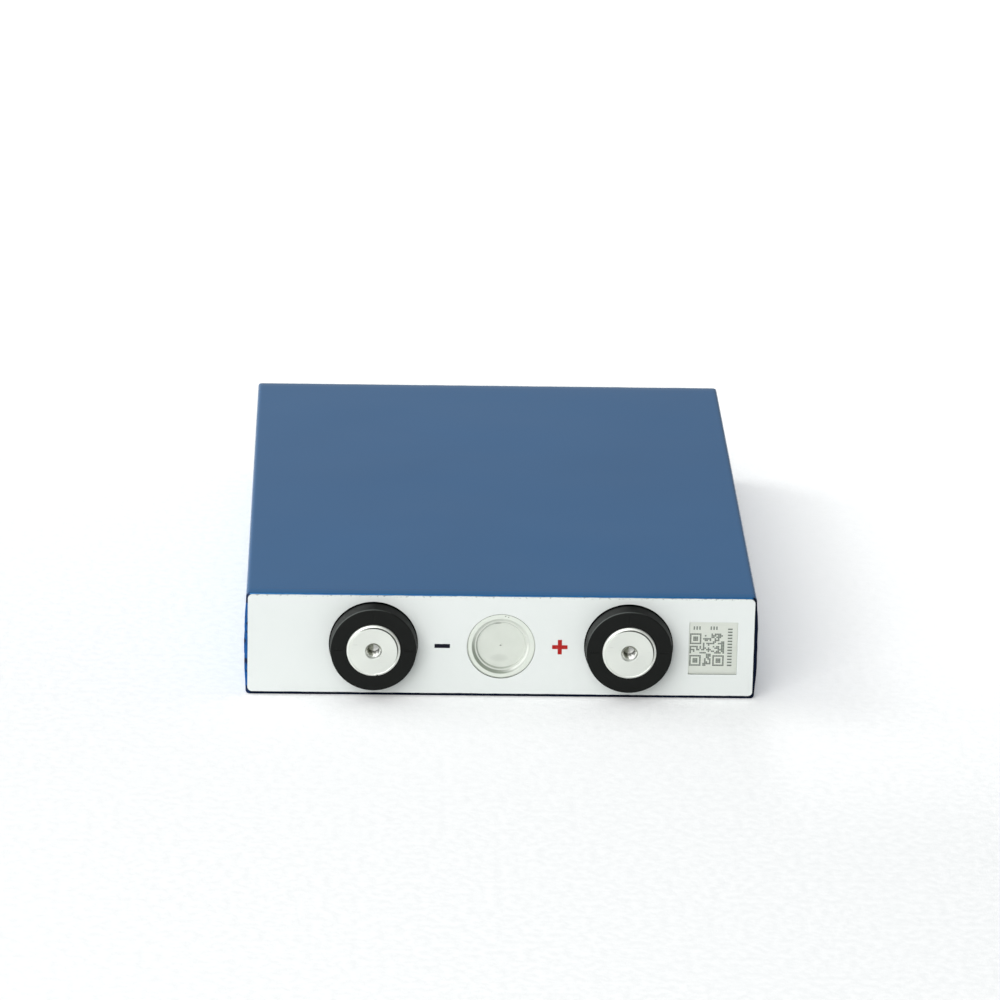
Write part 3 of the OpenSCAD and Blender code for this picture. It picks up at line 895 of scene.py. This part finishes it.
def ring(name, x, node):
    """The moulded insulator: a stepped bore over the terminal's flange, eased edges and shallow ticks."""
    inner_r = BOSS_R + BORE_GAP
    bore_r = FLANGE_R + BORE_GAP
    clear = BOSS_BASE + FLANGE_T + BORE_GAP
    face_r = RING_R - RING_DRAFT
    foot_r = RING_R + RING_GAP - FOOT_GAP
    foot = SHEET_TOP - FOOT_DROP
    corners = [
        (POST_HOLE_R, 0, 0), (foot_r, 0, 0), (foot_r, foot, 0.05), (RING_R, foot, 0),
        (face_r, RING_TOP, 0.28), (TICK_OUTER_R + 0.1, RING_TOP, 0), (TICK_OUTER_R, RING_TOP, 0),
        (TICK_INNER_R, RING_TOP, 0), (TICK_INNER_R - 0.1, RING_TOP, 0),
        (inner_r, RING_TOP, 0.12), (inner_r, clear, 0), (bore_r, clear, 0),
        (bore_r, BOSS_BASE, 0), (POST_HOLE_R, BOSS_BASE, 0),
    ]
    extra = []
    for side in TICK_SIDES:
        extra += [side - TICK_HALF_ANGLE - TICK_EASE, side - TICK_HALF_ANGLE]
        extra += [side + TICK_HALF_ANGLE, side + TICK_HALF_ANGLE + TICK_EASE]

    def tick(radius, height, angle):
        """Sinks the ring's face along each tick."""
        on_face = TICK_INNER_R - 0.05 < radius < TICK_OUTER_R + 0.05 and height > RING_TOP - 0.01
        for side in TICK_SIDES:
            away = abs((math.degrees(angle) - side + 180) % 360 - 180)
            if on_face and away < TICK_HALF_ANGLE + 0.01:
                return radius, height - TICK_DEPTH * (FAINT_TICK if side == 90 else 1.0)
        return radius, height

    profile = rounded(corners)
    piece = lathe(name, profile, MATERIALS["black_insulator"], full_turn(144, extra), tick)
    return keep(on_lid(piece, x, TERMINAL_RISE), "black_insulator", node)


THREAD_ROW = 0.07
DRILL_TIP_R = 1.1
NICK_REACH = 0.9
NICK_DEPTH = 0.22


def thread_radius(height, angle):
    """The radius of the tapped wall: a 60 degree thread, so one turn climbs one pitch."""
    phase = (height / THREAD_PITCH - angle / (2 * math.pi)) % 1.0
    crest = abs(2 * phase - 1)
    share = min(max((crest - 0.12) / 0.70, 0.0), 1.0)
    return THREAD_R + (THREAD_MAJOR_R - THREAD_R) * share


def terminal(name, x, node, nick=None):
    """The turned aluminium terminal: captive flange, stepped face and a tapped, countersunk blind hole."""
    sink = COUNTERSINK_R - THREAD_R
    thread_top = BOSS_TOP - sink
    bottom = BOSS_TOP - THREAD_DEPTH
    groove = BOSS_TOP - STEP_DEPTH
    outer = rounded([
        (0, BOSS_BASE, 0), (FLANGE_R, BOSS_BASE, 0.1), (FLANGE_R, BOSS_BASE + FLANGE_T, 0.1),
        (BOSS_R, BOSS_BASE + FLANGE_T, 0.1), (BOSS_R, BOSS_TOP - RIM_DROP, 0.12),
        (STEP_R + 0.18, BOSS_TOP - 0.10, 0.05), (STEP_R + 0.06, groove, 0), (STEP_R - 0.06, groove, 0),
        (STEP_R - 0.14, BOSS_TOP, 0.04), (COUNTERSINK_R, BOSS_TOP, 0.06), (THREAD_R, thread_top, 0),
    ])
    levels = round((THREAD_DEPTH - sink) / THREAD_ROW)
    wall = [(THREAD_R, thread_top + (bottom - thread_top) * k / levels) for k in range(1, levels + 1)]
    profile = outer + wall + [(DRILL_TIP_R, bottom - 0.25), (0, bottom - 0.30)]
    hole_top = BOSS_TOP - 0.12

    def cut(radius, height, angle):
        """Cuts the thread into the hole's wall, and the nick into the rim if there is one."""
        in_hole = radius < COUNTERSINK_R + 0.01 and bottom - 0.01 < height < hole_top
        if in_hole and radius > THREAD_R - 0.01:
            return max(radius, thread_radius(height, angle)), height
        on_rim = radius > BOSS_R - NICK_REACH and height > BOSS_TOP - NICK_REACH
        if nick is not None and on_rim:
            away = abs((math.degrees(angle) - nick + 180) % 360 - 180)
            return radius - NICK_DEPTH * smooth_step(away, 2.2, 0.4), height
        return radius, height

    piece = lathe(name, profile, MATERIALS["turned_aluminium"], full_turn(120), cut)
    return keep(on_lid(piece, x, TERMINAL_RISE), "turned_aluminium", node)


# ---- Vent cover and code window ----

COVER_FLANGE_W = 1.25
COVER_STEP_W = 1.15
COVER_STEP_Z = -0.2
COVER_FLOOR_Z = -0.9
COVER_SKIN = 0.25
DENT_SIDES = (82, 76)
DENT_DEPTH = 0.08


def vent_cover():
    """The clear dish over the vent: flange, step and sunken floor, with a moulding gate in the middle."""
    top, step, floor = COVER_TOP, COVER_STEP_Z, COVER_FLOOR_Z
    skin = COVER_SKIN
    step_r = COVER_R - COVER_FLANGE_W
    floor_r = step_r - COVER_STEP_W
    corners = [
        (0, floor + 0.05, 0), (0.30, floor + 0.05, 0.04), (0.40, floor, 0.04),
        (floor_r - 0.15, floor, 0.25), (floor_r + 0.12, step, 0.12), (step_r - 0.62, step, 0.14),
        (step_r + 0.08, top, 0.12), (COVER_R, top, 0.12), (COVER_R, 0, 0), (step_r, 0, 0),
        (step_r, step - skin, 0.2), (floor_r + 0.3, step - skin, 0.1),
        (floor_r + 0.3, floor - skin, 0.2), (0, floor - skin, 0),
    ]

    def marks(radius, height, angle):
        """Two small dents in the flange, near its top."""
        if height > top - 0.01 and radius > COVER_R - 0.8:
            for side in DENT_SIDES:
                away = abs(math.degrees(angle) - side)
                height -= DENT_DEPTH * smooth_step(away, 2.2, 0.8)
        return radius, height

    piece = lathe("vent_cover_clear", rounded(corners), MATERIALS["clear_cover"], full_turn(144), marks)
    return keep(on_lid(piece, 0), "clear_cover", "vent_cover")


CODE_CELLS = 21
CODE_SIZE = 9.2
CODE_LEFT = WINDOW_X - WINDOW_W / 2 + 0.25
CODE_BOTTOM = -5.1
SIDE_DASHES = 13
TOP_DASHES = (0, 1, 2, 6, 7, 8)
ETCH_INSET = 0.02
ETCH_LOW = 0.002
ETCH_HIGH = 0.012


def code_cells():
    """A made-up grid of marks that can't be read: three nested corner squares and seeded blocks."""
    rng = random.Random(7)
    last = CODE_CELLS - 1
    dark = set()
    for column in range(CODE_CELLS):
        for row in range(CODE_CELLS):
            corner = None
            for a, b in ((0, 0), (0, last), (last, 0)):
                if abs(column - a) < 8 and abs(row - b) < 8:
                    corner = max(abs(column - abs(a - 3)), abs(row - abs(b - 3)))
            mark = rng.random() < 0.5
            if corner is not None:
                mark = corner == 3 or corner < 1.5
            if mark:
                dark.add((column, row))
    return dark


def etched_marks():
    """The unreadable block code's dark cells and the plain dashes by it, as (x, y, width, height)."""
    cell = CODE_SIZE / CODE_CELLS
    marks = []
    for column, row in sorted(code_cells()):
        marks.append((CODE_LEFT + column * cell, CODE_BOTTOM + row * cell, cell, cell))
    beside = CODE_LEFT + CODE_SIZE + 0.85
    marks += [(beside, CODE_BOTTOM + 0.85 * k, 1.25, 0.45) for k in range(SIDE_DASHES)]
    above = CODE_BOTTOM + CODE_SIZE + 1.0
    marks += [(CODE_LEFT + 0.9 + 0.75 * k, above, 0.4, 1.0) for k in TOP_DASHES]
    return marks


def etched_code():
    """The etched marks behind the window, each a thin raised plate."""
    form = bmesh.new()
    for x, y, w, h in etched_marks():
        left, right = x + ETCH_INSET, x + w - ETCH_INSET
        bottom, top = y + ETCH_INSET, y + h - ETCH_INSET
        rim = [(left, bottom), (right, bottom), (right, top), (left, top)]
        low = [form.verts.new(Vector((a, b, ETCH_LOW)) * MM) for a, b in rim]
        high = [form.verts.new(Vector((a, b, ETCH_HIGH)) * MM) for a, b in rim]
        form.faces.new(high)
        form.faces.new(low[::-1])
        for i in range(4):
            form.faces.new((low[i], low[(i + 1) % 4], high[(i + 1) % 4], high[i]))
    mesh = bpy.data.meshes.new("etched_code")
    form.to_mesh(mesh)
    form.free()
    piece = make_object("etched_code", mesh, ETCHED_METAL)
    return keep(on_lid(piece, 0), "case_aluminium")


# ---- CAD nodes that stay ----

def paint_cad_nodes():
    """Gives every CAD node that still shows the material of its slot in the record."""
    for subpart in frame["record"]["subparts"]:
        node = frame["nodes"][subpart["node"]]
        if not node.hide_render:
            node.data.materials.clear()
            node.data.materials.append(MATERIALS[subpart["material_slot"]])


# ---- Studio ----

CAMERA_TARGET = (1.72, 2.90, 22.96)
CAMERA_DISTANCE = 1582.2
CAMERA_AZIMUTH = 1.683
CAMERA_ELEVATION = 18.81
CAMERA_ROLL = 1.172
CAMERA_LENS = 202.96
CAMERA_SENSOR = 36
CAMERA_REACH = 20


def add_camera():
    """The camera, a long lens a little above the cell and slightly rolled."""
    azimuth = math.radians(CAMERA_AZIMUTH)
    elevation = math.radians(CAMERA_ELEVATION)
    level = math.cos(elevation)
    ahead = Vector((math.sin(azimuth) * level, math.cos(azimuth) * level, -math.sin(elevation)))
    turn = ahead.to_track_quat("-Z", "Y").to_matrix() @ Matrix.Rotation(math.radians(CAMERA_ROLL), 3, "Z")
    data = bpy.data.cameras.new("camera")
    data.lens = CAMERA_LENS
    data.sensor_width = CAMERA_SENSOR
    data.clip_end = CAMERA_REACH
    camera = bpy.data.objects.new("camera", data)
    place = (Vector(CAMERA_TARGET) - CAMERA_DISTANCE * ahead) * MM
    camera.matrix_world = Matrix.Translation(place) @ turn.to_4x4()
    bpy.context.scene.collection.objects.link(camera)
    bpy.context.scene.camera = camera


KEY_PLACE = (-0.75, -1.95, 1.15)
KEY_SIZE = 1.9
KEY_POWER = 33.2
KEY_TINT = (1.0, 0.995, 0.98)
SIDE_PLACE = (-1.5, 0.5, 0.9)
SIDE_SIZE = 1.0
SIDE_POWER = 10
LIGHT_TARGET = (0, -0.05, 0.015)


def add_softbox(name, place, size, power, colour=(1, 1, 1)):
    """A square area light at place in metres, aimed at the cell."""
    data = bpy.data.lights.new(name, "AREA")
    data.size = size
    data.energy = power
    data.color = colour
    light = bpy.data.objects.new(name, data)
    place = Vector(place)
    aim = Vector(LIGHT_TARGET) - place
    light.matrix_world = Matrix.Translation(place) @ aim.to_track_quat("-Z", "Y").to_matrix().to_4x4()
    bpy.context.scene.collection.objects.link(light)


ROOM_LEVEL = 0.44
ROOM_SLOPE = (-0.50, 0.0, 0.0)
ROOM_LEAST = 0.08
ROOM_TINT = (0.95, 0.99, 0.99, 1)


def add_world():
    """A white backdrop to the camera. To everything else it is a soft room, brighter to the left."""
    world = bpy.data.worlds.new("studio")
    world.use_nodes = True
    bpy.context.scene.world = world
    tree = world.node_tree
    tree.nodes.clear()
    place = tree.nodes.new("ShaderNodeTexCoord")
    slope = tree.nodes.new("ShaderNodeVectorMath")
    slope.operation = "DOT_PRODUCT"
    slope.inputs[1].default_value = ROOM_SLOPE
    tree.links.new(place.outputs["Generated"], slope.inputs[0])
    level = tree.nodes.new("ShaderNodeMath")
    level.operation = "ADD"
    level.inputs[1].default_value = ROOM_LEVEL
    tree.links.new(slope.outputs["Value"], level.inputs[0])
    strength = tree.nodes.new("ShaderNodeMath")
    strength.operation = "MAXIMUM"
    strength.inputs[1].default_value = ROOM_LEAST
    tree.links.new(level.outputs[0], strength.inputs[0])
    room = tree.nodes.new("ShaderNodeBackground")
    room.inputs["Color"].default_value = ROOM_TINT
    tree.links.new(strength.outputs[0], room.inputs["Strength"])
    white = tree.nodes.new("ShaderNodeBackground")
    white.inputs["Color"].default_value = (1, 1, 1, 1)
    white.inputs["Strength"].default_value = 1.0
    seen = tree.nodes.new("ShaderNodeLightPath")
    choose = tree.nodes.new("ShaderNodeMixShader")
    tree.links.new(seen.outputs["Is Camera Ray"], choose.inputs["Fac"])
    tree.links.new(room.outputs[0], choose.inputs[1])
    tree.links.new(white.outputs[0], choose.inputs[2])
    output = tree.nodes.new("ShaderNodeOutputWorld")
    tree.links.new(choose.outputs[0], output.inputs["Surface"])


FLOOR_HALF = 6
FLOOR_NEAR_LIFT = 0.21
FLOOR_FAR_LIFT = 0.50
BESIDE_LIFT = 0.16


def add_floor():
    """A white floor with a very faint texture, brighter to the camera farther back, and with a painted glow
    right of the cell that lightens the cell's shadow there.
    """
    s = Shader("floor_white")
    grain = s.noise(2.2, detail=5)
    colour = s.mix(s.remap(grain, 0.35, 0.65), srgb(240, 241, 242), srgb(250, 250, 251))
    s.bump((grain, 0.07))
    seen = s.add("LightPath").outputs["Is Camera Ray"]
    # Painted light: right of the cell the floor glows to the camera, lightening the cell's cast shadow there.
    beside = s.times(s.remap(s.x, 62, 78, 0.0, BESIDE_LIFT), s.remap(s.y, -210, -50))
    behind = s.remap(s.y, -150, 500, FLOOR_NEAR_LIFT, FLOOR_FAR_LIFT)
    lift = s.times(seen, s.math("ADD", behind, beside))
    s.finish(Base_Color=colour, Roughness=0.85, Emission_Color=(1, 1, 1, 1), Emission_Strength=lift)
    form = bmesh.new()
    bmesh.ops.create_grid(form, x_segments=8, y_segments=8, size=FLOOR_HALF)
    mesh = bpy.data.meshes.new("floor")
    form.to_mesh(mesh)
    form.free()
    floor = make_object("floor", mesh, s.material)


def add_studio():
    """Camera, floor, room light and two soft lights. The main one is in front, up and to the left."""
    add_camera()
    add_world()
    add_floor()
    add_softbox("key", KEY_PLACE, KEY_SIZE, KEY_POWER, KEY_TINT)
    add_softbox("side", SIDE_PLACE, SIDE_SIZE, SIDE_POWER)
    bpy.context.scene.view_settings.view_transform = "Standard"


# ---- The cell ----

film_wrap()
top_sheet()
bottom_sheet()
ring("negative_insulator_ring", -TERMINAL_X, "negative_ring")
ring("positive_insulator_ring", TERMINAL_X, "positive_ring")
terminal("negative_screw_terminal", -TERMINAL_X, "negative_terminal", nick=-82)
terminal("positive_screw_terminal", TERMINAL_X, "positive_terminal")
vent_cover()
etched_code()
paint_cad_nodes()
add_studio()
